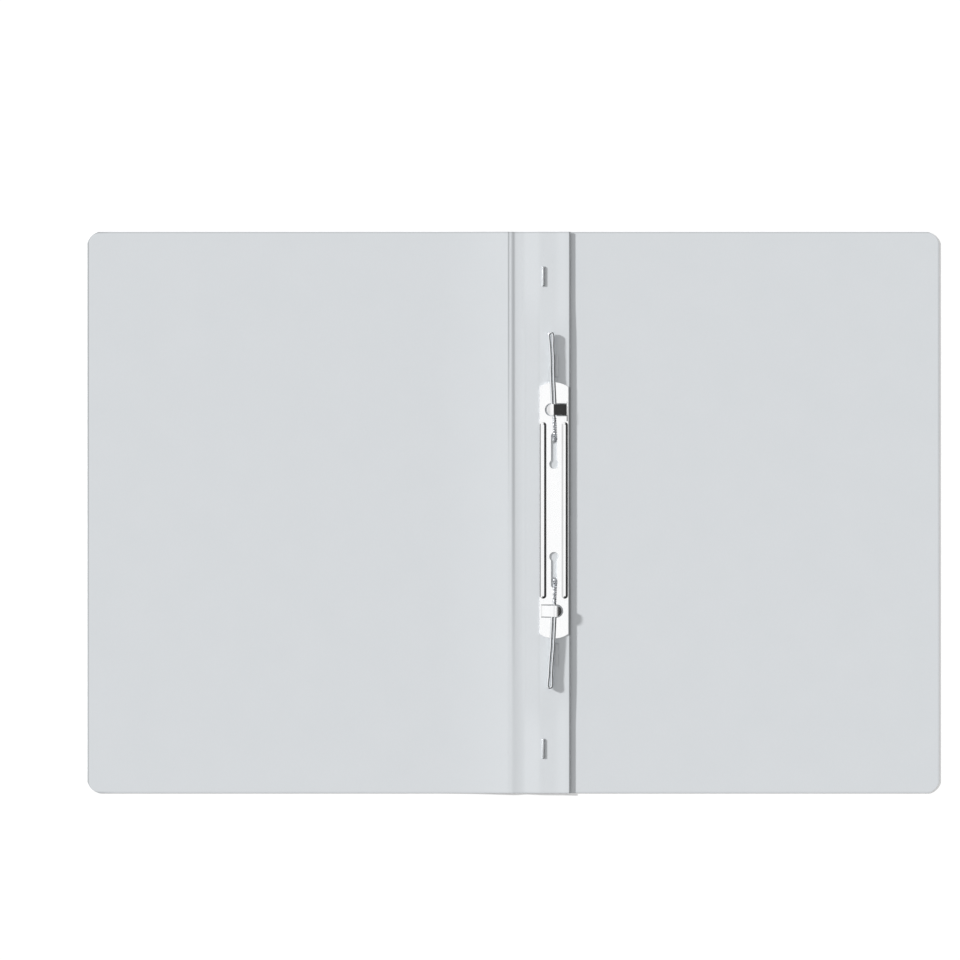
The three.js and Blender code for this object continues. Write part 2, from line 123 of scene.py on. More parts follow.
class Term:
    """One output socket of a node tree, with the arithmetic that the trees are written in."""

    def __init__(self, recipe: Recipe, socket: bpy.types.NodeSocket) -> None:
        """Wraps a socket of the recipe's tree."""
        self.recipe = recipe
        self.socket = socket

    def math(self, operation: str, *values: Feed) -> Term:
        """Adds one Math node.

        Args:
            operation: The Math node's operation.
            values: What feeds its sockets, in order.

        Returns:
            The node's result.
        """
        inputs = dict(enumerate(values))
        return self.recipe.node("ShaderNodeMath", {"operation": operation}, inputs)

    __add__, __radd__ = operator("ADD"), operator("ADD", True)
    __sub__, __rsub__ = operator("SUBTRACT"), operator("SUBTRACT", True)
    __mul__, __rmul__ = operator("MULTIPLY"), operator("MULTIPLY", True)
    __truediv__ = operator("DIVIDE")

    def __neg__(self) -> Term:
        """The opposite."""
        return self.math("MULTIPLY", self, -1.0)

    def __abs__(self) -> Term:
        """The size without its sign."""
        return self.math("ABSOLUTE", self)

    def least(self, other: Feed) -> Term:
        """The smaller of two values."""
        return self.math("MINIMUM", self, other)

    def most(self, other: Feed) -> Term:
        """The larger of two values."""
        return self.math("MAXIMUM", self, other)

    def sine(self) -> Term:
        """The sine of an angle in radians."""
        return self.math("SINE", self)

    def cosine(self) -> Term:
        """The cosine of an angle in radians."""
        return self.math("COSINE", self)

    def root(self) -> Term:
        """The square root."""
        return self.math("SQRT", self)

    def below(self, limit: Feed) -> Term:
        """One where the value is under the limit, and zero elsewhere."""
        return self.math("LESS_THAN", self, limit)

    def ease(self, low: float, high: float) -> Term:
        """A smooth step.

        Args:
            low: Where the step starts, at zero.
            high: Where it ends, at one.

        Returns:
            The step's value.
        """
        settings = {"interpolation_type": "SMOOTHSTEP"}
        return self.recipe.node("ShaderNodeMapRange", settings, {0: self, 1: low, 2: high})

    def fade(self, low: float, high: float) -> Term:
        """A smooth step down, from one at low to zero at high."""
        return 1.0 - self.ease(low, high)

    def parts(self) -> tuple[Term, Term, Term]:
        """A vector's three numbers."""
        first = self.recipe.node("ShaderNodeSeparateXYZ", {}, {0: self})
        return first, first.sibling(1), first.sibling(2)

    def stretched(self, factors: Point) -> Term:
        """A vector multiplied number by number."""
        settings = {"operation": "MULTIPLY"}
        return self.recipe.node("ShaderNodeVectorMath", settings, {0: self, 1: factors})

    def millimetres(self) -> tuple[Term, Term, Term]:
        """The three numbers of a place in metres, in millimetres."""
        return self.stretched((1 / MM,) * 3).parts()

    def sibling(self, output: Union[int, str]) -> Term:
        """Another output of the same node."""
        return Term(self.recipe, self.socket.node.outputs[output])


class Recipe:
    """A node tree that is written as Python expressions."""

    def __init__(self, tree: bpy.types.NodeTree) -> None:
        """Starts on an empty tree."""
        self.tree = tree
        self.tree.nodes.clear()

    def node(self, kind: str, settings: dict[str, Any], inputs: dict[Any, Feed],
             output: Union[int, str] = 0) -> Term:
        """Adds a node.

        Args:
            kind: The node's type.
            settings: Its own settings, set before any socket.
            inputs: Values or links for its sockets, by name or number.
            output: The output that is wanted.

        Returns:
            That output.
        """
        made = self.tree.nodes.new(kind)
        for name, value in settings.items():
            setattr(made, name, value)
        for key, value in inputs.items():
            self.feed(made.inputs[key], value)
        return Term(self, made.outputs[output])

    def feed(self, socket: bpy.types.NodeSocket, value: Feed) -> None:
        """Links a term to a socket, or sets the socket's own value.

        Args:
            socket: The socket that is fed.
            value: A term, or a value of the socket's kind.
        """
        if isinstance(value, Term):
            self.tree.links.new(value.socket, socket)
        else:
            socket.default_value = value

    def finish(self, kind: str, results: dict[Any, Term]) -> None:
        """Adds the tree's output node and links the results to it.

        Args:
            kind: The output node's type.
            results: What feeds its sockets, by name.
        """
        made = self.tree.nodes.new(kind)
        for key, value in results.items():
            self.tree.links.new(value.socket, made.inputs[key])

    def tint(self, factor: Feed, first: Feed, second: Feed) -> Term:
        """A colour between two colours.

        Args:
            factor: Zero for the first colour, one for the second.
            first: A colour with alpha, or a link.
            second: A colour with alpha, or a link.

        Returns:
            The mixed colour.
        """
        inputs = {0: factor, 6: first, 7: second}
        return self.node("ShaderNodeMix", {"data_type": "RGBA"}, inputs, 2)

    def grain(self, place: Feed, scale: float, detail: float = 2.0) -> Term:
        """Noise between zero and one; scale is in lumps for each metre."""
        inputs = {"Vector": place, "Scale": scale, "Detail": detail}
        return self.node("ShaderNodeTexNoise", {}, inputs)

    def place(self) -> Term:
        """The point on the piece, in metres."""
        return self.node("ShaderNodeTexCoord", {}, {}, "Object")

    def facing(self) -> Term:
        """The way the surface faces, in the piece's own axes."""
        return self.node("ShaderNodeTexCoord", {}, {}, "Normal")

    def relief(self, height: Term, depth: float, strength: float) -> Term:
        """A bump from a height between zero and one; depth is in metres."""
        return self.node("ShaderNodeBump", {}, {"Height": height, "Distance": depth,
                                                "Strength": strength})


def from_screen(red: int, green: int, blue: int) -> Colour:
    """A colour as a screen shows it, from 0 to 255, turned into the renderer's linear values.

    Args:
        red: How much red.
        green: How much green.
        blue: How much blue.

    Returns:
        The colour, with alpha.
    """
    def linear(level: int) -> float:
        """One of the three as a linear value."""
        share = level / 255
        return share / 12.92 if share <= 0.04045 else ((share + 0.055) / 1.055) ** 2.4
    return linear(red), linear(green), linear(blue), 1.0


@dataclass(frozen=True)
class Finish:
    """What every finish has: a name, and a recipe for its surface."""

    name: str

    def material(self) -> bpy.types.Material:
        """The finish as a material, made once.

        Returns:
            The material.
        """
        found = bpy.data.materials.get(self.name)
        if found is not None:
            return found
        made = bpy.data.materials.new(self.name)
        made.use_nodes = True
        recipe = Recipe(made.node_tree)
        recipe.finish("ShaderNodeOutputMaterial", {"Surface": self.surface(recipe)})
        return made

    def surface(self, recipe: Recipe) -> Term:
        """The shader; each finish writes its own."""
        raise NotImplementedError


@dataclass(frozen=True)
class CardFinish(Finish):
    """Smooth pale card: faint fibres, a slight cloudiness, a darker cut edge, and painted shade
    along the rim of its face.
    """

    light: Colour = from_screen(217, 220, 223)
    dark: Colour = from_screen(210, 214, 217)
    cut: Colour = from_screen(168, 171, 174)
    # The colour of the painted shade, used for the rim and for the creases.
    shade: Colour = from_screen(60, 62, 64)
    fibre_scale: float = 1500.0
    cloud_scale: float = 45.0
    fibre_depth: float = 0.00001
    half_size: Pair = (241.35, 159.0)
    rounding: float = 6.5
    rim_span: Pair = (-1.1, -0.1)
    painted_rim_shade: float = 0.12
    painted_top_shade: float = 0.12
    painted_left_shade: float = 0.26
    top_over: Pair = (-90.0, 90.0)
    left_over: Pair = (226.0, 238.0)
    fibre_stretch: Point = (1.0, 0.45, 1.0)
    fibre_relief: float = 0.2
    upright: Pair = (0.35, 0.65)
    roughness: float = 0.78
    roughness_play: float = 0.14
    gloss: float = 0.28

    def rim(self, x: Term, y: Term) -> Term:
        """How much painted shade darkens the outer rim at a place, most on the left and then at the
        top.

        Args:
            x: The place across, in millimetres.
            y: The place along, in millimetres.

        Returns:
            The share of the shade.
        """
        beside = (abs(x) - (self.half_size[0] - self.rounding)).most(0.0)
        beyond = (abs(y) - (self.half_size[1] - self.rounding)).most(0.0)
        out = (beside * beside + beyond * beyond).root() - self.rounding
        depth = self.painted_rim_shade + y.ease(*self.top_over) * self.painted_top_shade
        depth = depth + (-x).ease(*self.left_over) * self.painted_left_shade
        return out.ease(*self.rim_span) * depth

    def face_colour(self, recipe: Recipe, place: Term) -> Term:
        """The colour of the flat of the sheet, with painted shade along its outer rim.

        Args:
            recipe: The material's tree.
            place: The point on the piece, in metres.

        Returns:
            The colour.
        """
        fibres = recipe.grain(place.stretched(self.fibre_stretch), self.fibre_scale, 3.0)
        clouds = recipe.grain(place, self.cloud_scale, 4.0)
        flat = recipe.tint(fibres * 0.5 + clouds * 0.5, self.dark, self.light)
        x, y, _ = place.millimetres()
        # Painted shade: near the outline, the sheet's colour darkens towards the shade colour.
        return recipe.tint(self.rim(x, y), flat, self.shade)

    def surface(self, recipe: Recipe) -> Term:
        """Matt card, darker on its cut edges, with painted shade along the rim of its face.

        Args:
            recipe: The material's tree.

        Returns:
            The shader.
        """
        place = recipe.place()
        edge = abs(recipe.facing().parts()[2]).fade(*self.upright)
        colour = recipe.tint(edge, self.face_colour(recipe, place), self.cut)
        fibres = recipe.grain(place, self.fibre_scale, 3.0)
        return recipe.node("ShaderNodeBsdfPrincipled", {}, {
            "Base Color": colour,
            "Roughness": self.roughness + fibres * self.roughness_play,
            "Specular IOR Level": self.gloss,
            "Normal": recipe.relief(fibres, self.fibre_depth, self.fibre_relief),
        })


@dataclass(frozen=True)
class RuledCardFinish(CardFinish):
    """The same card with thin grey writing lines printed on its underside."""

    ink: Colour = from_screen(150, 153, 156)
    ink_strength: float = 0.85
    underside: float = -0.5
    line_width: float = 0.45
    column_x: float = -24.9
    column_ends: Pair = (-120.0, 151.0)
    row_ends: Pair = (-225.6, -125.3)
    rows: tuple[float, ...] = (96.0, 76.2, -75.2, -89.9, -105.2, -120.0)

    def stroke(self, across: Term, along: Term, centre: float, ends: Pair) -> Term:
        """One printed line.

        Args:
            across: The place across the line, in millimetres.
            along: The place along it.
            centre: Where the line's middle lies.
            ends: Where it starts and stops.

        Returns:
            One on the line, zero off it.
        """
        middle = (ends[0] + ends[1]) / 2
        reach = (ends[1] - ends[0]) / 2
        near = abs(across - centre).below(self.line_width / 2)
        return near * abs(along - middle).below(reach)

    def face_colour(self, recipe: Recipe, place: Term) -> Term:
        """The card's colour with the printed lines on the side that faces down.

        Args:
            recipe: The material's tree.
            place: The point on the piece, in metres.

        Returns:
            The colour.
        """
        x, y, _ = place.millimetres()
        lines = self.stroke(x, y, self.column_x, self.column_ends)
        for row in self.rows:
            lines = lines.most(self.stroke(y, x, row, self.row_ends))
        inked = lines * recipe.facing().parts()[2].below(self.underside) * self.ink_strength
        return recipe.tint(inked, super().face_colour(recipe, place), self.ink)


@dataclass(frozen=True)
class CreaseShadedCardFinish(CardFinish):
    """The same card where it is folded and pressed, with painted shade along its creases, over its
    raised band and at the strip's free edge.
    """

    # Painted shade: where and how dark the shade is painted along the score, the crease, the
    # strip's rising band and the strip's free edge.
    score_x: float = -2.7
    score_edge: Pair = (0.1, 0.7)
    score_over: Pair = (-10.0, 130.0)
    score_depth: float = 0.3
    crease_x: float = 0.0
    crease_edge: Pair = (0.1, 1.5)
    crease_over: Pair = (-130.0, 20.0)
    painted_crease_shade: float = 0.24
    band_start: Pair = (5.2, 7.2)
    band_end: Pair = (14.3, 15.8)
    band_middle: float = 1.2
    band_ends: Pair = (96.0, 126.0)
    painted_band_shade: float = 0.12
    edge: Pair = (31.3, 31.8)
    painted_edge_shade: float = 0.7

    def face_colour(self, recipe: Recipe, place: Term) -> Term:
        """The card's colour with painted shade along its creases, over its raised band and at the
        strip's free edge.

        Args:
            recipe: The material's tree.
            place: The point on the piece, in metres.

        Returns:
            The colour.
        """
        x, y, _ = place.millimetres()
        # Painted shade: along the score and the crease, over the rising band where the strip faces
        # the light, and at the strip's free edge.
        score = abs(x - self.score_x).fade(*self.score_edge) * self.score_depth
        crease = abs(x - self.crease_x).fade(*self.crease_edge) * self.painted_crease_shade
        band = x.ease(*self.band_start) * x.fade(*self.band_end) * self.painted_band_shade
        band = band * abs(y - self.band_middle).fade(*self.band_ends)
        marks = (score * y.ease(*self.score_over)).most(crease * y.ease(*self.crease_over))
        marks = marks.most(band).most(x.ease(*self.edge) * self.painted_edge_shade)
        return recipe.tint(marks, super().face_colour(recipe, place), self.shade)


@dataclass(frozen=True)
class MetalFinish(Finish):
    """Plated steel: a mirror softened by fine marks that run one way, and faint cloudiness."""

    light: Colour
    dark: Colour
    roughness: float
    roughness_play: float
    mark_stretch: Point = (1.0, 0.06, 1.0)
    mark_scale: float = 4200.0
    mark_depth: float = 0.000002
    mark_relief: float = 0.3
    cloud_scale: float = 260.0

    def surface(self, recipe: Recipe) -> Term:
        """Metal with its marks in roughness and relief.

        Args:
            recipe: The material's tree.

        Returns:
            The shader.
        """
        place = recipe.place()
        marks = recipe.grain(place.stretched(self.mark_stretch), self.mark_scale, 2.0)
        clouds = recipe.grain(place, self.cloud_scale, 3.0)
        return recipe.node("ShaderNodeBsdfPrincipled", {}, {
            "Base Color": self.colour(recipe, place, recipe.tint(clouds, self.dark, self.light)),
            "Metallic": 1.0,
            "Roughness": self.roughness + (marks + clouds - 1.0) * self.roughness_play,
            "Normal": recipe.relief(marks, self.mark_depth, self.mark_relief),
        })

    def colour(self, recipe: Recipe, place: Term, plain: Term) -> Term:
        """The metal's colour at a place; plain metal keeps its own."""
        return plain


@dataclass(frozen=True)
class PressedPlateFinish(MetalFinish):
    """The rail's plate, with painted shade where the left foot of each pressed bead meets the flat.
    """

    shade: Colour = from_screen(60, 62, 64)
    left_foot: float = 15.15
    painted_left_foot_shade: float = 0.68
    right_foot: float = 27.8
    painted_right_foot_shade: float = 0.32
    foot_edge: Pair = (0.25, 0.6)
    foot_middle: float = 1.2
    foot_ends: Pair = (48.5, 49.5)

    def colour(self, recipe: Recipe, place: Term, plain: Term) -> Term:
        """The plate's colour with painted shade at the beads' feet.

        Args:
            recipe: The material's tree.
            place: The point on the piece, in metres.
            plain: The plate's colour without them.

        Returns:
            The colour.
        """
        x, y, _ = place.millimetres()
        # Painted shade: dark lines along the feet of the beads.
        left = abs(x - self.left_foot).fade(*self.foot_edge) * self.painted_left_foot_shade
        right = abs(x - self.right_foot).fade(*self.foot_edge) * self.painted_right_foot_shade
        within = abs(y - self.foot_middle).fade(*self.foot_ends)
        return recipe.tint(left.most(right) * within, plain, self.shade)


@dataclass(frozen=True)
class FloorFinish(Finish):
    """A white floor that stays white in the picture and keeps the object's shadow."""

    white: float = 0.95
    lift: float = 0.1

    def surface(self, recipe: Recipe) -> Term:
        """Matt white, with a little light of its own for the eye and for reflections.

        Args:
            recipe: The material's tree.

        Returns:
            The shader.
        """
        seen = recipe.node("ShaderNodeLightPath", {}, {})
        shown = seen.most(seen.sibling("Is Glossy Ray"))
        matt = recipe.node("ShaderNodeBsdfDiffuse", {}, {"Color": (self.white,) * 3 + (1.0,)})
        glow = recipe.node("ShaderNodeEmission", {}, {"Strength": shown * self.lift})
        return recipe.node("ShaderNodeAddShader", {}, {0: matt, 1: glow})


CARD = CardFinish("smooth_card")
RULED_CARD = RuledCardFinish("ruled_card")
CREASE_SHADED_CARD = CreaseShadedCardFinish("crease_shaded_card")
BRIGHT_PLATE = PressedPlateFinish(
    "nickel_sheet", from_screen(250, 250, 250), from_screen(242, 243, 244), 0.12, 0.05)
BRIGHT_WIRE = MetalFinish(
    "nickel_wire", from_screen(236, 237, 239), from_screen(222, 225, 228), 0.3, 0.06)
SPRING_WIRE = MetalFinish(
    "spring_wire", from_screen(222, 224, 227), from_screen(204, 207, 211), 0.3, 0.08)
ZINC = MetalFinish(
    "zinc_steel", from_screen(206, 208, 211), from_screen(188, 191, 195), 0.38, 0.1,
    mark_stretch=(1.0, 1.0, 1.0), mark_scale=1800.0, cloud_scale=420.0)
WHITE_FLOOR = FloorFinish("white_floor")


def ease(value: float, low: float, high: float) -> float:
    """A smooth step from zero at low to one at high."""
    share = min(max((value - low) / (high - low), 0.0), 1.0)
    return share * share * (3 - 2 * share)


def gentle(value: float, low: float, high: float) -> float:
    """A ramp from zero at low to one at high, straight but for its rounded ends.

    Args:
        value: The place on the ramp.
        low: Where it starts.
        high: Where it ends.

    Returns:
        The ramp's height.
    """
    share = min(max((value - low) / (high - low), 0.0), 1.0)
    rounded = 0.2
    slope = 1 / (1 - rounded)
    if share < rounded:
        return slope * share * share / (2 * rounded)
    if share > 1 - rounded:
        return 1 - slope * (1 - share) ** 2 / (2 * rounded)
    return slope * (share - rounded / 2)


def between(low: float, high: float, share: float) -> float:
    """The value a share of the way from low to high."""
    return low + (high - low) * share


def stations(*stops: tuple[float, float, int]) -> list[float]:
    """Cutting lines for a grid.

    Args:
        stops: Stretches that follow each other: from, to, and the number of steps.

    Returns:
        Every line, from the first start to the last end.
    """
    lines = [between(low, high, step / steps) for low, high, steps in stops
             for step in range(steps)]
    return lines + [stops[-1][1]]


def mesh_piece(name: str, points: Sequence[Point], faces: Sequence[Face],
               edges: Sequence[tuple[int, int]] = ()) -> Piece:
    """Makes a mesh object at the origin.

    Args:
        name: The piece's name.
        points: Its points, in millimetres.
        faces: Its faces, pointing out.
        edges: Loose edges, for a path.

    Returns:
        The object.
    """
    mesh = bpy.data.meshes.new(name)
    mesh.from_pydata([Vector(point) * MM for point in points], edges, faces)
    mesh.update()
    piece = bpy.data.objects.new(name, mesh)
    bpy.context.scene.collection.objects.link(piece)
    if faces:
        smooth(piece)
    return piece


def smooth(piece: Piece) -> None:
    """Shades a piece smooth, apart from its sharp edges.

    Args:
        piece: The piece.
    """
    mesh = piece.data
    mesh.polygons.foreach_set("use_smooth", [True] * len(mesh.polygons))
    mesh.set_sharp_from_angle(angle=math.radians(CRISP_ANGLE))
    mesh.update()


def settle(piece: Piece) -> None:
    """Turns what a piece's modifiers make into its plain mesh, and removes them.

    Args:
        piece: The piece.
    """
    bpy.context.view_layer.update()
    evaluated = piece.evaluated_get(bpy.context.evaluated_depsgraph_get())
    made = bpy.data.meshes.new_from_object(evaluated)
    piece.modifiers.clear()
    old = piece.data
    piece.data = made
    bpy.data.meshes.remove(old)
    made.name = piece.name


def carve(piece: Piece, tools: Iterable[Piece], cut: Cut) -> None:
    """Joins tools to a piece, cuts them away, or keeps what lies inside them; uses them up.

    Args:
        piece: The piece that is worked on.
        tools: The tools, one after the other.
        cut: What they do.
    """
    for tool in tools:
        modifier = piece.modifiers.new("carve", "BOOLEAN")
        modifier.operation = cut.value
        modifier.solver = "EXACT"
        modifier.object = tool
        settle(piece)
        bpy.data.objects.remove(tool)


def prism(name: str, outline: Sequence[Pair], bottom: float, top: float) -> Piece:
    """A solid raised from an outline.

    Args:
        name: The object's name.
        outline: Its corners in X and Y, anticlockwise from above.
        bottom: The height of its foot.
        top: The height of its top.

    Returns:
        The object.
    """
    count = len(outline)
    points = [(x, y, bottom) for x, y in outline] + [(x, y, top) for x, y in outline]
    faces: list[Face] = [tuple(reversed(range(count))), tuple(range(count, 2 * count))]
    for index in range(count):
        following = (index + 1) % count
        faces.append((index, following, following + count, index + count))
    return mesh_piece(name, points, faces)


def arc(x: float, y: float, radius: float, start: float, end: float, steps: int) -> list[Pair]:
    """Points along an arc, ends included; the angles are in degrees."""
    turns = [math.radians(between(start, end, step / steps)) for step in range(steps + 1)]
    return [(x + radius * math.cos(turn), y + radius * math.sin(turn)) for turn in turns]


def half_turned(outline: Sequence[Pair]) -> list[Pair]:
    """The outline turned half round about the origin."""
    return [(-x, -y) for x, y in outline]


def shifted(outline: Sequence[Pair], x: float, y: float) -> list[Pair]:
    """The outline moved in X and Y."""
    return [(px + x, py + y) for px, py in outline]


def slab(name: str, xs: Sequence[float], ys: Sequence[float], top: Surface, bottom: Surface,
         reach: Callable[[float], float] = lambda x: 1.0) -> Piece:
    """A closed sheet over a grid, with its own top and bottom surface.

    Args:
        name: The object's name.
        xs: The grid's lines across, rising.
        ys: The grid's lines along, rising, in shares of the reach.
        top: The height of the top at a place.
        bottom: The height of the underside there.
        reach: How far the sheet goes along Y at a place in X.

    Returns:
        The object.
    """
    places = [(x, y * reach(x)) for x in xs for y in ys]
    points = [(x, y, top(x, y)) for x, y in places] + [(x, y, bottom(x, y)) for x, y in places]
    rows, columns, layer = len(xs), len(ys), len(places)
    faces: list[Face] = []
    for i in range(rows - 1):
        for j in range(columns - 1):
            a = i * columns + j
            b = a + columns
            faces.append((a, b, b + 1, a + 1))
            faces.append((a + 1 + layer, b + 1 + layer, b + layer, a + layer))
    rim = list(range(columns))
    rim += [i * columns + columns - 1 for i in range(1, rows)]
    rim += [(rows - 1) * columns + j for j in range(columns - 2, -1, -1)]
    rim += [i * columns for i in range(rows - 2, 0, -1)]
    for here, following in zip(rim, rim[1:] + rim[:1]):
        faces.append((here, following, following + layer, here + layer))
    return mesh_piece(name, points, faces)


def tube(name: str, path: Sequence[Point]) -> Piece:
    """A path of loose edges, ready to be swept."""
    edges = [(index, index + 1) for index in range(len(path) - 1)]
    return mesh_piece(name, path, [], edges)


class ShapeRecipe(Recipe):
    """A Geometry Nodes tree with named inputs, run once on a piece and then settled."""

    def __init__(self, name: str) -> None:
        """Starts a tree with a geometry input and output.

        Args:
            name: The tree's name.
        """
        tree = bpy.data.node_groups.new(name, "GeometryNodeTree")
        super().__init__(tree)
        tree.interface.new_socket("Geometry", in_out="INPUT", socket_type="NodeSocketGeometry")
        tree.interface.new_socket("Geometry", in_out="OUTPUT", socket_type="NodeSocketGeometry")
        self.entry = tree.nodes.new("NodeGroupInput")

    def given(self, name: str, kind: str) -> Term:
        """Adds a named input of a socket type and returns it."""
        self.tree.interface.new_socket(name, in_out="INPUT", socket_type=f"NodeSocket{kind}")
        return Term(self, self.entry.outputs[name])

    def source(self) -> Term:
        """The geometry that the tree is given."""
        return Term(self, self.entry.outputs["Geometry"])

    def swept(self, path: Term, diameter: Term, sides: int) -> Term:
        """A round wire along a path, with closed ends."""
        ring = self.node("GeometryNodeCurvePrimitiveCircle", {}, {
            "Resolution": sides, "Radius": diameter * 0.5})
        return self.node("GeometryNodeCurveToMesh", {}, {
            "Curve": path, "Profile Curve": ring, "Fill Caps": True})

    def close(self, shape: Term, finish: Term) -> None:
        """Ends the tree with plain geometry in one finish.

        Args:
            shape: The finished geometry.
            finish: The input that holds the material.
        """
        plain = self.node("GeometryNodeRealizeInstances", {}, {"Geometry": shape})
        dressed = self.node("GeometryNodeSetMaterial", {}, {"Geometry": plain, "Material": finish})
        self.finish("NodeGroupOutput", {"Geometry": dressed})

    def run(self, piece: Piece, values: dict[str, Any]) -> None:
        """Runs the tree on a piece.

        Args:
            piece: The piece, whose mesh the result replaces.
            values: The named inputs' values.
        """
        modifier = piece.modifiers.new("shape", "NODES")
        modifier.node_group = self.tree
        for item in self.tree.interface.items_tree:
            if item.item_type == "SOCKET" and item.name in values:
                modifier[item.identifier] = values[item.name]
        settle(piece)
        smooth(piece)


def dress(piece: Piece, finish: Finish) -> None:
    """Gives every face of a piece one finish.

    Args:
        piece: The piece.
        finish: Its finish.
    """
    if not piece.data.materials:
        piece.data.materials.append(finish.material())
    for index in range(len(piece.material_slots)):
        piece.material_slots[index].material = finish.material()


def stand_for(piece: Piece, body: Body, *nodes: str) -> None:
    """The piece takes the place of nodes of the construction and moves with their body.

    Args:
        piece: The piece.
        body: The body that carries it.
        nodes: The nodes that it replaces.
    """
    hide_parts(*nodes)
    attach(piece, body.value)
    LOG.info("%s: %d faces, for %s", piece.name, len(piece.data.polygons), ", ".join(nodes))


def corners(node: str) -> tuple[Vector, Vector]:
    """The lowest and highest corner of a node of the construction, in millimetres."""
    low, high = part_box(node)
    return low / MM, high / MM


def joint_place(name: str) -> Vector:
    """Where a joint's axis lies, in millimetres."""
    found = next(joint for joint in frame["joints"] if joint["name"] == name)
    return Vector(found["pos_m"]) / MM


@dataclass
class CardSheets:
    """The covers, the fold between them and the filing strip, which is one folded sheet in front
    and a second sheet behind it."""

    card: float = 0.45
    corner_reach: float = 6.3
    corner_radius: float = 9.0
    joint_gap: float = 0.15
    fold_rise: float = 0.38
    rise_run: float = 40.0
    crease_share: Pair = (0.75, 0.1)
    crease_over: Pair = (0.05, 0.9)
    crease_from: Pair = (-2.8, -2.5)
    crease_to: Pair = (-0.2, 0.6)
    fall_from: Pair = (-1.4, -2.4)
    fall_run: Pair = (4.2, 9.8)
    score_depth: float = 0.06
    score_over: Pair = (0.15, 0.5)
    score_edge: Pair = (0.35, 0.85)
    strip_glued: float = 4.0
    strip_ramp: float = 10.6
    strip_width: float = 31.0
    strip_overrun: float = 1.0
    settled_before: float = 6.0
    edge_curl: float = 0.3
    curl_width: float = 9.0
    spring_bore: float = 4.2
    slit: Pair = (2.4, 0.9)
    claw_y: float = 75.85
    claw_x: float = 1.55
    bend_zone: float = 2.0
    tool_height: float = 4.0

    def __post_init__(self) -> None:
        """Reads the places that the construction fixes."""
        self.half = corners("back_cover")[1].y
        self.fold = joint_place("spine_fold").x
        self.front_fold = joint_place("cover_fold").x
        self.middle = (self.fold + self.front_fold) / 2
        self.outer = corners("front_cover")[0].x
        self.right = corners("filing_strip")[1].x
        self.level = 2 * self.card
        rail_low, rail_high = corners("base_rail")
        self.claw_low, self.claw_high = rail_low.y, rail_high.y
        staple = corners("top_staple")[0].y
        self.settled = staple - self.settled_before
        self.rail_y = (rail_low.y + rail_high.y) / 2
        self.rail_x = (rail_low.x + rail_high.x) / 2
        self.lift = corners("cover_rail")[0].z - self.level
        self.end_lift = corners("top_staple")[1].z - Fasteners.thickness - self.level

    def down(self, y: float) -> float:
        """A place along the fold, from zero at its top to one at its bottom."""
        return (self.half - y) / (2 * self.half)

    def fold_drop(self, x: float, y: float) -> float:
        """How far the fold has come down, from none on the front cover's side to all of it.

        Args:
            x: The place across, in millimetres.
            y: The place along, in millimetres.

        Returns:
            A share between zero and one.
        """
        down = self.down(y)
        at = x - self.fold
        crease = between(*self.crease_share, ease(down, *self.crease_over))
        sharp = ease(at, between(*self.crease_from, down), between(*self.crease_to, down))
        start, run = between(*self.fall_from, down), between(*self.fall_run, down)
        left = 1 - min(max((at - start) / run, 0.0), 1.0)
        soft = 1 - left ** 4 * (5 - 4 * left)
        return crease * sharp + (1 - crease) * soft

    def height(self, x: float, y: float) -> float:
        """The height of the folded sheet's upper face.

        Args:
            x: The place across, in millimetres.
            y: The place along, in millimetres.

        Returns:
            The height, in millimetres.
        """
        fade = 1 - ease(self.down(y), *self.score_over)
        score = self.score_depth * fade * ease(x - self.front_fold, *self.score_edge)
        fall = self.fold_rise * self.fold_drop(x, y)
        if x >= self.front_fold:
            return self.level + self.fold_rise - fall - score
        rise = max(1 - (self.front_fold - x) / self.rise_run, 0.0) ** 2
        return self.card + (self.level + self.fold_rise - self.card) * rise

    def strip_height(self, x: float, y: float) -> float:
        """The height of the filing strip's upper face, over the base rail too.

        Args:
            x: The place across, in millimetres.
            y: The place along, in millimetres.

        Returns:
            The height, in millimetres.
        """
        across = gentle(x - self.fold, self.strip_glued, self.strip_glued + self.strip_ramp)
        end = 1 if y > self.rail_y else -1
        rail_end = self.claw_high if end > 0 else self.claw_low
        leaves = rail_end + end * self.strip_overrun
        settled = ease(end * y, end * leaves, self.settled)
        curl = self.edge_curl * ease(x, self.right - self.curl_width, self.right) * settled
        lifted = across * between(self.lift, self.end_lift, settled)
        return self.height(x, y) + lifted + curl

    def corner(self, x: float) -> float:
        """How far along Y the front cover reaches at a place near its outer corners.

        Args:
            x: The place across, in millimetres.

        Returns:
            The reach from the middle, in millimetres.
        """
        radius, reach = self.corner_radius, self.corner_reach
        inset = (reach + math.sqrt(2 * radius ** 2 - reach ** 2)) / 2
        if x >= self.outer + reach:
            return self.half
        away = self.outer + inset - x
        return self.half - inset + math.sqrt(radius ** 2 - away ** 2)

    def rows(self) -> list[float]:
        """The grid's lines along the fold."""
        return stations((-self.half, self.half, 96))

    def under(self, surface: Surface) -> Surface:
        """The underside of a sheet, one card's thickness down."""
        return lambda x, y: surface(x, y) - self.card

    def front_sheet(self) -> None:
        """The opened front cover, which rises a little to the fold."""
        start = self.outer + self.corner_reach
        rising = self.front_fold - self.rise_run
        xs = stations((self.outer, start, 12), (start, rising, 6),
                      (rising, self.front_fold - self.joint_gap, 30))
        shares = [row / self.half for row in self.rows()]
        sheet = slab("front_cover_sheet", xs, shares, self.height, self.under(self.height),
                     self.corner)
        dress(sheet, RULED_CARD)
        stand_for(sheet, Body.FRONT, "front_cover")

    def fold_half(self, name: str, left: float, right: float) -> None:
        """One half of the band between the covers, shaped with the crease of its own fold.

        Args:
            name: The piece's name.
            left: Its left edge.
            right: Its right edge.
        """
        piece = slab(name, stations((left, right, 16)), self.rows(), self.height,
                     self.under(self.height))
        dress(piece, CREASE_SHADED_CARD)
        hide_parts("spine")
        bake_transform(piece)
        LOG.info("%s: %d faces, bends between two bodies", name, len(piece.data.polygons))

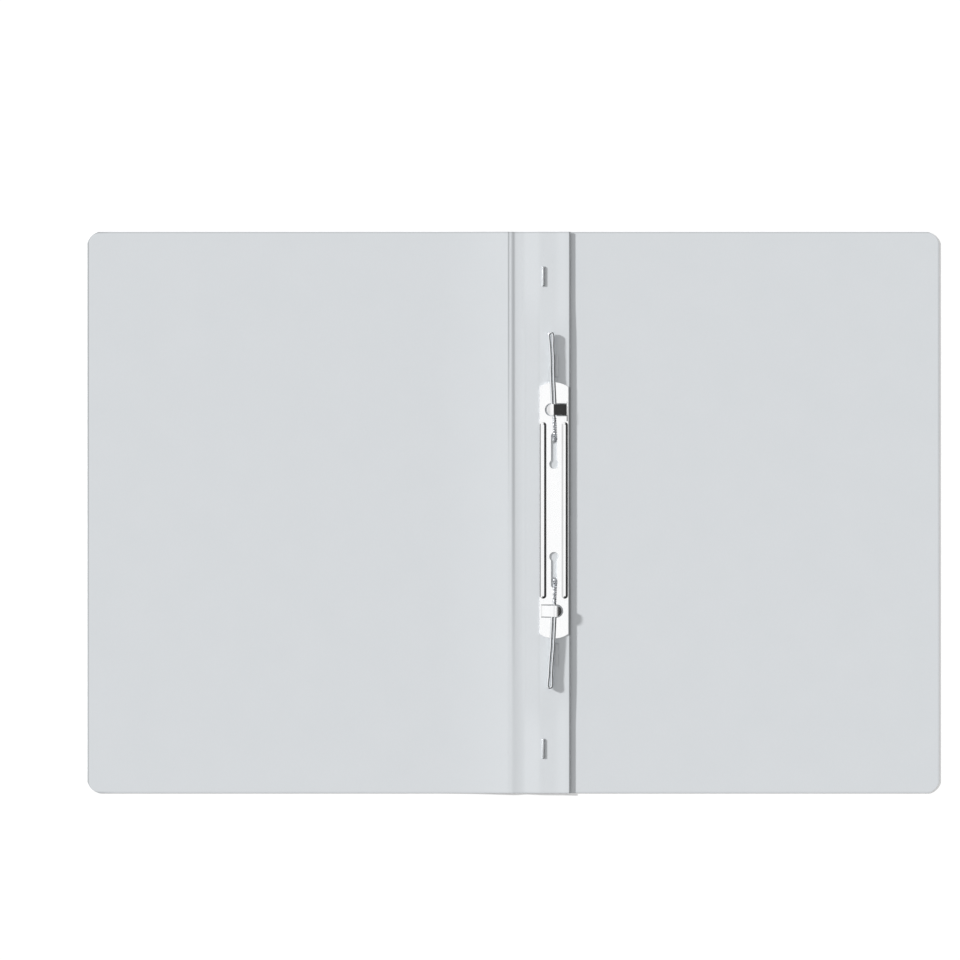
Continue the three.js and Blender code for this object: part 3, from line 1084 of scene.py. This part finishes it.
    def strip(self) -> None:
        """The filing strip, with its bores for the springs and slits for the claws."""
        near, glued = self.fold + 3, self.fold + self.strip_glued
        ramp_end, curl = glued + self.strip_ramp, self.right - self.curl_width
        xs = stations((self.fold + self.joint_gap, near, 12), (near, glued, 10),
                      (glued, ramp_end, 18), (ramp_end, curl, 5), (curl, self.right, 10))
        sheet = slab("filing_strip_sheet", xs, self.rows(), self.strip_height,
                     self.under(self.strip_height))
        tools = []
        for end, node in ((1, "top_stud"), (-1, "bottom_stud")):
            low, high = corners(node)
            x, y = (low.x + high.x) / 2, (low.y + high.y) / 2
            bore = arc(x, y, self.spring_bore / 2, 0, 360, 32)
            tools.append(prism("bore", bore[:-1], self.level, self.level + self.tool_height))
            x, y = self.rail_x + self.claw_x, self.rail_y + end * self.claw_y
            across, along = self.slit[0] / 2, self.slit[1] / 2
            slit = [(x - across, y - along), (x + across, y - along),
                    (x + across, y + along), (x - across, y + along)]
            tools.append(prism("slit", slit, self.level, self.level + self.tool_height))
        carve(sheet, tools, Cut.REMOVE)
        smooth(sheet)
        dress(sheet, CREASE_SHADED_CARD)
        stand_for(sheet, Body.BACK, "filing_strip")

    def build(self) -> None:
        """Makes and dresses every sheet."""
        self.front_sheet()
        self.strip()
        gap, zone = self.joint_gap, self.bend_zone
        self.fold_half("back_fold", self.middle, self.fold + gap)
        self.fold_half("front_fold", self.front_fold - gap, self.middle)
        dress(frame["nodes"]["back_cover"], CARD)


@dataclass
class CoverRail:
    """The pressed cover rail: beads, keyholes, and two lanced, arched spring clips."""

    sheet: float = 0.5
    bulge: float = 2.6
    bead_length: float = 100.0
    bead_width: float = 3.6
    bead_flat: float = 0.9
    bead_height: float = 0.45
    bead_spacing: float = 12.2
    keyhole_spacing: float = 52.4
    keyhole_diameter: float = 5.3
    slot_width: float = 3.4
    slot_end: float = 42.2
    clip_spacing: float = 114.0
    clip_width: float = 6.4
    clip_root: float = 7.2
    clip_tip: float = 4.2
    clip_cut: float = 0.5
    clip_tip_gap: float = 1.0
    crown: float = 4.98
    tip_level: float = 4.62
    clip_peak: float = -0.6
    clip_fall: float = 1.6
    clip_foot: float = 0.3
    tip_inset: float = 0.01
    tip_half: float = 0.2
    most_stretch: float = 1.35
    edge_round: float = 0.08
    tool_top: float = 10.0

    def __post_init__(self) -> None:
        """Reads the rail's place and outer size."""
        low, high = corners("cover_rail")
        self.x = (low.x + high.x) / 2
        self.y = (low.y + high.y) / 2
        self.half_width = (high.x - low.x) / 2
        self.half_length = (high.y - low.y) / 2
        self.bottom = low.z
        self.top = low.z + self.sheet

    def bead(self, x: float, y: float) -> float:
        """How far the beads raise the sheet at a place on the rail.

        Args:
            x: The place across, from the rail's middle.
            y: The place along, from the rail's middle.

        Returns:
            The rise, in millimetres.
        """
        across = abs(x) - self.bead_spacing / 2
        beyond = max(abs(y) - (self.bead_length - self.bead_width) / 2, 0.0)
        away = math.hypot(across, beyond)
        return self.bead_height * (1 - ease(away, self.bead_flat / 2, self.bead_width / 2))

    def blank(self) -> Piece:
        """The oblong sheet with its beads pressed in.

        Returns:
            The sheet, about the origin.
        """
        inner = (self.bead_spacing - self.bead_width) / 2
        outer = (self.bead_spacing + self.bead_width) / 2
        edge = self.half_width + 1
        xs = stations((-edge, -outer, 2), (-outer, -inner, 24), (-inner, inner, 6),
                      (inner, outer, 24), (outer, edge, 2))
        straight = self.bead_length / 2 - self.bead_width
        end = self.half_length + 1
        ys = stations((-end, -self.bead_length / 2, 6), (-self.bead_length / 2, -straight, 24),
                      (-straight, straight, 20), (straight, self.bead_length / 2, 24),
                      (self.bead_length / 2, end, 6))
        return slab("cover_rail_sheet", xs, ys, lambda x, y: self.top + self.bead(x, y),
                    lambda x, y: self.bottom + self.bead(x, y))

    def outline(self) -> list[Pair]:
        """The rail's outer edge, with bowed ends.

        Returns:
            The outline, about the origin.
        """
        half, bulge = self.half_width, self.bulge
        radius = (half * half + bulge * bulge) / (2 * bulge)
        centre = self.half_length - radius
        start = math.degrees(math.atan2(radius - bulge, half))
        bow = arc(0, centre, radius, start, 180 - start, 40)
        return bow + half_turned(bow)

    def keyhole(self) -> list[Pair]:
        """A keyhole: a round eye with a slot towards the rail's end.

        Returns:
            The outline of the one in the top half.
        """
        eye, slot = self.keyhole_diameter / 2, self.slot_width / 2
        start = self.keyhole_spacing / 2
        meet = math.degrees(math.acos(slot / eye))
        lower = arc(0, start, eye, 180 - meet, 360 + meet, 40)
        return lower + arc(0, self.slot_end, slot, 0, 180, 20)

    def window(self, width: float, root: float, tip: float) -> list[Pair]:
        """A clip's outline: square at the root, round at the tip."""
        radius = width / 2
        return [(root, -radius), (root, radius)] + arc(radius - tip, 0, radius, 90, 270, 32)

    def under_clip(self, x: float) -> float:
        """The height of a clip's underside at a distance from its middle.

        Args:
            x: The distance, towards the root.

        Returns:
            The height, in millimetres.
        """
        peak = self.clip_peak
        if x < peak:
            fall = (peak - x) / (peak + self.clip_tip)
            return between(self.crown, self.tip_level, fall ** self.clip_fall)
        drop = ease(x, peak, self.clip_root + self.clip_foot)
        return between(self.crown, self.bottom, drop)

    def tongue(self) -> Piece:
        """One arched clip, lofted from its root to its round tip.

        Returns:
            The clip in the rail's top half.
        """
        radius, bevel = self.clip_width / 2, self.edge_round
        middle = self.clip_spacing / 2
        round_from = radius - self.clip_tip
        round_steps = 14
        xs = stations((self.clip_root + self.sheet, round_from, 36))
        xs += [round_from - radius * math.sin(math.pi / 2 * step / round_steps)
               for step in range(1, round_steps)]
        xs.append(-self.clip_tip + self.tip_inset)
        points: list[Point] = []
        for x in xs:
            away = max(round_from - x, 0.0)
            half = math.sqrt(max(radius ** 2 - away ** 2, self.tip_half ** 2))
            low = self.under_clip(x)
            slope = (self.under_clip(x + 0.05) - self.under_clip(x - 0.05)) / 0.1
            thick = self.sheet * min(math.hypot(1, slope), self.most_stretch)
            ring = [(-half + bevel, low), (half - bevel, low), (half, low + bevel),
                    (half, low + thick - bevel), (half - bevel, low + thick),
                    (-half + bevel, low + thick), (-half, low + thick - bevel),
                    (-half, low + bevel)]
            points += [(x, middle + across, height) for across, height in ring]
        sides = 8
        last = (len(xs) - 1) * sides
        faces: list[Face] = []
        for first in range(0, last, sides):
            for a, b in zip(range(sides), (*range(1, sides), 0)):
                faces.append((first + a, first + a + sides, first + b + sides, first + b))
        faces += [tuple(range(sides)), tuple(reversed(range(last, last + sides)))]
        return mesh_piece("clip", points, faces)

    def build(self) -> None:
        """Presses, pierces and lances the rail."""
        rail = self.blank()
        carve(rail, [prism("outline", self.outline(), 0, self.tool_top)], Cut.KEEP)
        width = self.clip_width + 2 * self.clip_cut
        opening = shifted(self.window(width, self.clip_root, self.clip_tip + self.clip_tip_gap),
                          0, self.clip_spacing / 2)
        holes = [self.keyhole(), half_turned(self.keyhole()), opening, half_turned(opening)]
        carve(rail, [prism("hole", hole, 0, self.tool_top) for hole in holes], Cut.REMOVE)
        other = self.tongue()
        for point in other.data.vertices:
            point.co.x, point.co.y = -point.co.x, -point.co.y
        carve(rail, [self.tongue(), other], Cut.JOIN)
        for point in rail.data.vertices:
            point.co.x += self.x * MM
            point.co.y += self.y * MM
        smooth(rail)
        dress(rail, BRIGHT_PLATE)
        stand_for(rail, Body.BACK, "cover_rail")


@dataclass
class LockingArms:
    """The two spiral springs and the prongs of wire bent double that stand in them."""

    spring_wire: float = 0.5
    spring_diameter: float = 2.5
    spring_pitch: float = 1.0
    spring_bend: float = 2.1
    spring_reach: float = 12.8
    spring_stand: float = -0.15
    prong_wire: float = 1.6
    prong_reach: float = 61.2
    prong_stem: float = 3.0
    prong_spread: float = 0.86
    eye_radius: float = 1.15
    eye_from: float = 52.5
    eye_run: float = 5.5
    bend: float = 0.35
    bend_over: Pair = (36.0, 48.0)
    lean: float = 2.66
    beside: float = 0.7
    play: float = 0.1
    coil_steps: int = 28
    coil_sides: int = 10
    wire_sides: int = 16
    path_steps: int = 150
    stem_steps: int = 4
    eye_steps: int = 28

    def __post_init__(self) -> None:
        """Reads the height at which the springs and prongs lie."""
        rail_top = corners("cover_rail")[0].z + CoverRail.sheet
        self.axis = rail_top + self.play + self.spring_diameter / 2

    def placed(self, points: Iterable[Point], arm: Body) -> list[Point]:
        """Points drawn from a prong's root, turned and moved to one of the two arms.

        Args:
            points: The points, with Y towards the prong's tip.
            arm: The arm.

        Returns:
            The points in their place.
        """
        root = joint_place(f"{arm.value.removesuffix('_arm')}_prong_swing")
        turn = math.radians(self.lean if arm is Body.TOP_ARM else 180 - self.lean)
        cosine, sine = math.cos(turn), math.sin(turn)
        middle = root.x + self.beside
        return [(middle + x * cosine - y * sine, root.y + x * sine + y * cosine, self.axis + z)
                for x, y, z in points]

    def spiral(self) -> ShapeRecipe:
        """The tree that winds a coil round a centre line that stands up and bends over.

        Returns:
            The tree.
        """
        recipe = ShapeRecipe("spiral_spring")
        wire, coil, turns, span, stand, bend = (recipe.given(name, "Float") for name in (
            "Wire", "Coil Radius", "Turns", "Span", "Stand", "Bend"))
        finish = recipe.given("Finish", "Material")
        helix = recipe.node("GeometryNodeCurveSpiral", {}, {
            "Resolution": self.coil_steps, "Rotations": turns, "Start Radius": coil,
            "End Radius": coil, "Height": span})
        sideways, inward, along = recipe.node("GeometryNodeInputPosition", {}, {}).parts()
        past = along - stand
        tilt = (past / bend).most(0.0).least(math.pi / 2)
        standing = along.least(stand) - stand
        lying = (past - bend * (math.pi / 2)).most(0.0)
        outward = bend * (1.0 - tilt.cosine()) + lying + inward * tilt.cosine()
        height = standing + bend * (tilt.sine() - 1.0) - inward * tilt.sine()
        bent = recipe.node("ShaderNodeCombineXYZ", {}, {0: sideways, 1: outward, 2: height})
        path = recipe.node("GeometryNodeSetPosition", {}, {"Geometry": helix, "Position": bent})
        recipe.close(recipe.swept(path, wire, self.coil_sides), finish)
        return recipe

    def sweep(self) -> ShapeRecipe:
        """The tree that runs a round wire along the piece's own path.

        Returns:
            The tree.
        """
        recipe = ShapeRecipe("swept_wire")
        wire = recipe.given("Wire", "Float")
        finish = recipe.given("Finish", "Material")
        path = recipe.node("GeometryNodeMeshToCurve", {}, {"Mesh": recipe.source()})
        recipe.close(recipe.swept(path, wire, self.wire_sides), finish)
        return recipe

    def strand(self, reach: float, side: int) -> Point:
        """Where one strand of a prong runs, at a distance from the root.

        Args:
            reach: The distance.
            side: Left is -1 and right is 1.

        Returns:
            A point of its centre line.
        """
        parting = ease(reach, self.spring_reach, self.spring_reach + self.prong_wire)
        flare = ease(reach, self.eye_from, self.eye_from + self.eye_run)
        return (side * parting * between(self.prong_spread, self.eye_radius, flare), reach, 0.0)

    def prong_path(self) -> list[Point]:
        """The wire's centre line: a stem, one strand out, the eye, and one strand back.

        Returns:
            The line's points.
        """
        eye = self.prong_reach - self.prong_wire / 2 - self.eye_radius
        start = self.spring_reach
        stem = stations((start - self.prong_stem, start, self.stem_steps))[:-1]
        out = stations((start, eye, self.path_steps))
        back = [reach for reach in reversed(out) if reach >= start + self.prong_wire]
        tip = arc(0, eye, self.eye_radius, 180, 0, self.eye_steps)[1:-1]
        path = [(0.0, reach, 0.0) for reach in stem]
        path += [self.strand(reach, -1) for reach in out]
        path += [(x, y, 0.0) for x, y in tip]
        path += [self.strand(reach, 1) for reach in back]
        return [(x + self.bend * ease(y, *self.bend_over), y, z) for x, y, z in path]

    def build(self) -> None:
        """Makes both arms."""
        spiral, sweep = self.spiral(), self.sweep()
        span = self.spring_stand + self.spring_bend * math.pi / 2
        span += self.spring_reach - self.spring_bend
        for arm in (Body.TOP_ARM, Body.BOTTOM_ARM):
            end = arm.value.removesuffix("_arm")
            spring = mesh_piece(f"{end}_spiral_spring", [], [])
            spiral.run(spring, {
                "Wire": self.spring_wire, "Span": span, "Turns": span / self.spring_pitch,
                "Coil Radius": (self.spring_diameter - self.spring_wire) / 2,
                "Stand": self.spring_stand, "Bend": self.spring_bend,
                "Finish": SPRING_WIRE.material()})
            moved = self.placed([tuple(point.co) for point in spring.data.vertices], arm)
            for point, place in zip(spring.data.vertices, moved):
                point.co = Vector(place) * MM
            dress(spring, SPRING_WIRE)
            stand_for(spring, arm, f"{end}_spring")
            prong = tube(f"{end}_wire_prong", self.placed(self.prong_path(), arm))
            sweep.run(prong, {"Wire": self.prong_wire * MM, "Finish": BRIGHT_WIRE.material()})
            dress(prong, BRIGHT_WIRE)
            stand_for(prong, arm, f"{end}_prong")


@dataclass
class Fasteners:
    """The flat-wire staples, and the finish of the base rail and its studs."""

    crown: float = 11.4
    width: float = 1.6
    thickness: float = 0.6
    edge_round: float = 0.25
    round_steps: int = 3
    round_above: float = 50.0

    def staple(self) -> Piece:
        """One staple as it lies at the top end, with rounded shoulders and edges.

        Returns:
            The staple.
        """
        low, high = corners("top_staple")
        x = (low.x + high.x) / 2
        outer, inner = self.crown / 2, self.crown / 2 - self.thickness
        seat, foot = high.z - self.thickness, low.z
        centre = (low.y + high.y) / 2
        shoulder = arc(inner, seat, self.thickness, 0, 90, 6)
        outline = [(outer, foot)] + shoulder
        outline += [(-y, z) for y, z in reversed(outline)]
        outline += [(-inner, foot), (-inner, seat), (inner, seat), (inner, foot)]
        points = [(x + side * self.width / 2, centre + y, z)
                  for side in (1, -1) for y, z in outline]
        count = len(outline)
        faces: list[Face] = [tuple(range(count)), tuple(reversed(range(count, 2 * count)))]
        for index in range(count):
            following = (index + 1) % count
            faces.append((index + count, following + count, following, index))
        piece = mesh_piece("strip_staples", points, faces)
        rounding = piece.modifiers.new("round", "BEVEL")
        rounding.width = self.edge_round * MM
        rounding.segments = self.round_steps
        rounding.limit_method = "ANGLE"
        rounding.angle_limit = math.radians(self.round_above)
        settle(piece)
        return piece

    def copies(self) -> ShapeRecipe:
        """The tree that sets copies of the piece in a row.

        Returns:
            The tree.
        """
        recipe = ShapeRecipe("row_of_staples")
        count = recipe.given("Count", "Int")
        step = recipe.given("Step", "Vector")
        finish = recipe.given("Finish", "Material")
        row = recipe.node("GeometryNodeMeshLine", {}, {"Count": count, "Offset": step})
        copies = recipe.node("GeometryNodeInstanceOnPoints", {}, {
            "Points": row, "Instance": recipe.source()})
        recipe.close(copies, finish)
        return recipe

    def build(self) -> None:
        """Makes the staples and dresses the rest."""
        staples = self.staple()
        step = corners("bottom_staple")[0].y - corners("top_staple")[0].y
        self.copies().run(staples, {"Count": 2, "Step": (0.0, step * MM, 0.0),
                                    "Finish": ZINC.material()})
        dress(staples, ZINC)
        stand_for(staples, Body.BACK, "top_staple", "bottom_staple")
        for node in ("base_rail", "top_stud", "bottom_stud"):
            dress(frame["nodes"][node], ZINC)


@dataclass
class Studio:
    """The white floor, the low light from the upper left, the sky that the metal reflects, and
    the camera straight above."""

    floor_size: float = 6000.0
    light_bearing: Pair = (-0.93, 0.37)
    light_height: float = 20.0
    light_spread: float = 4.0
    key: float = 0.445
    soft: float = 0.69
    zenith: float = 1.34
    zenith_edge: Pair = (0.975, 0.992)
    side_edge: Pair = (-0.15, 0.4)
    dark_side: float = 0.05
    light_side: float = 1.3
    view_centre: Pair = (-18.9, 18.4)
    view_width: float = 544.3
    camera_height: float = 1800.0
    sensor: float = 36.0

    def floor(self) -> None:
        """A plane under everything."""
        half = self.floor_size / 2
        points = [(-half, -half, 0.0), (half, -half, 0.0), (half, half, 0.0), (-half, half, 0.0)]
        plane = mesh_piece("floor", points, [(0, 1, 2, 3)])
        plane.data.materials.append(WHITE_FLOOR.material())

    def sun(self) -> None:
        """The low main light."""
        height = math.radians(self.light_height)
        towards = Vector((*self.light_bearing, 0.0)).normalized() * math.cos(height)
        towards.z = math.sin(height)
        lamp = bpy.data.lights.new("low_light", "SUN")
        lamp.energy = self.key * math.pi / math.sin(height)
        lamp.angle = math.radians(self.light_spread)
        holder = bpy.data.objects.new("low_light", lamp)
        holder.rotation_euler = towards.to_track_quat("Z", "Y").to_euler()
        holder.location = towards
        bpy.context.scene.collection.objects.link(holder)

    def sky(self) -> None:
        """Bright overhead, grey to the light's side and dark to the other."""
        world = bpy.data.worlds.new("studio")
        world.use_nodes = True
        bpy.context.scene.world = world
        recipe = Recipe(world.node_tree)
        way = recipe.node("ShaderNodeTexCoord", {}, {}, "Generated")
        x, y, z = way.parts()
        bearing = Vector(self.light_bearing).normalized()
        side = (x * bearing.x + y * bearing.y).ease(*self.side_edge)
        horizon = self.dark_side + side * (self.light_side - self.dark_side)
        overhead = z.ease(*self.zenith_edge)
        mirrored = horizon + overhead * (self.zenith - horizon)
        seen = recipe.node("ShaderNodeLightPath", {}, {})
        level = self.soft + seen.sibling("Is Glossy Ray") * (mirrored - self.soft)
        shown = level + seen * (1.0 - level)
        light = recipe.node("ShaderNodeBackground", {}, {"Strength": shown})
        recipe.finish("ShaderNodeOutputWorld", {"Surface": light})

    def camera(self) -> None:
        """The camera, which looks straight down."""
        lens = bpy.data.cameras.new("camera")
        lens.sensor_width = self.sensor
        lens.lens = self.sensor * self.camera_height / self.view_width
        lens.clip_end = 20.0
        holder = bpy.data.objects.new("camera", lens)
        holder.location = Vector((*self.view_centre, self.camera_height)) * MM
        bpy.context.scene.collection.objects.link(holder)
        bpy.context.scene.camera = holder

    def build(self) -> None:
        """Sets everything up."""
        self.floor()
        self.sun()
        self.sky()
        self.camera()
        bpy.context.scene.view_settings.view_transform = "Standard"


def main() -> None:
    """Builds the folder and its studio."""
    logging.basicConfig(level=logging.INFO, format="%(name)s: %(message)s")
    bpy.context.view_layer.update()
    Studio().build()
    CardSheets().build()
    CoverRail().build()
    LockingArms().build()
    Fasteners().build()


if __name__ == "__main__":
    main()
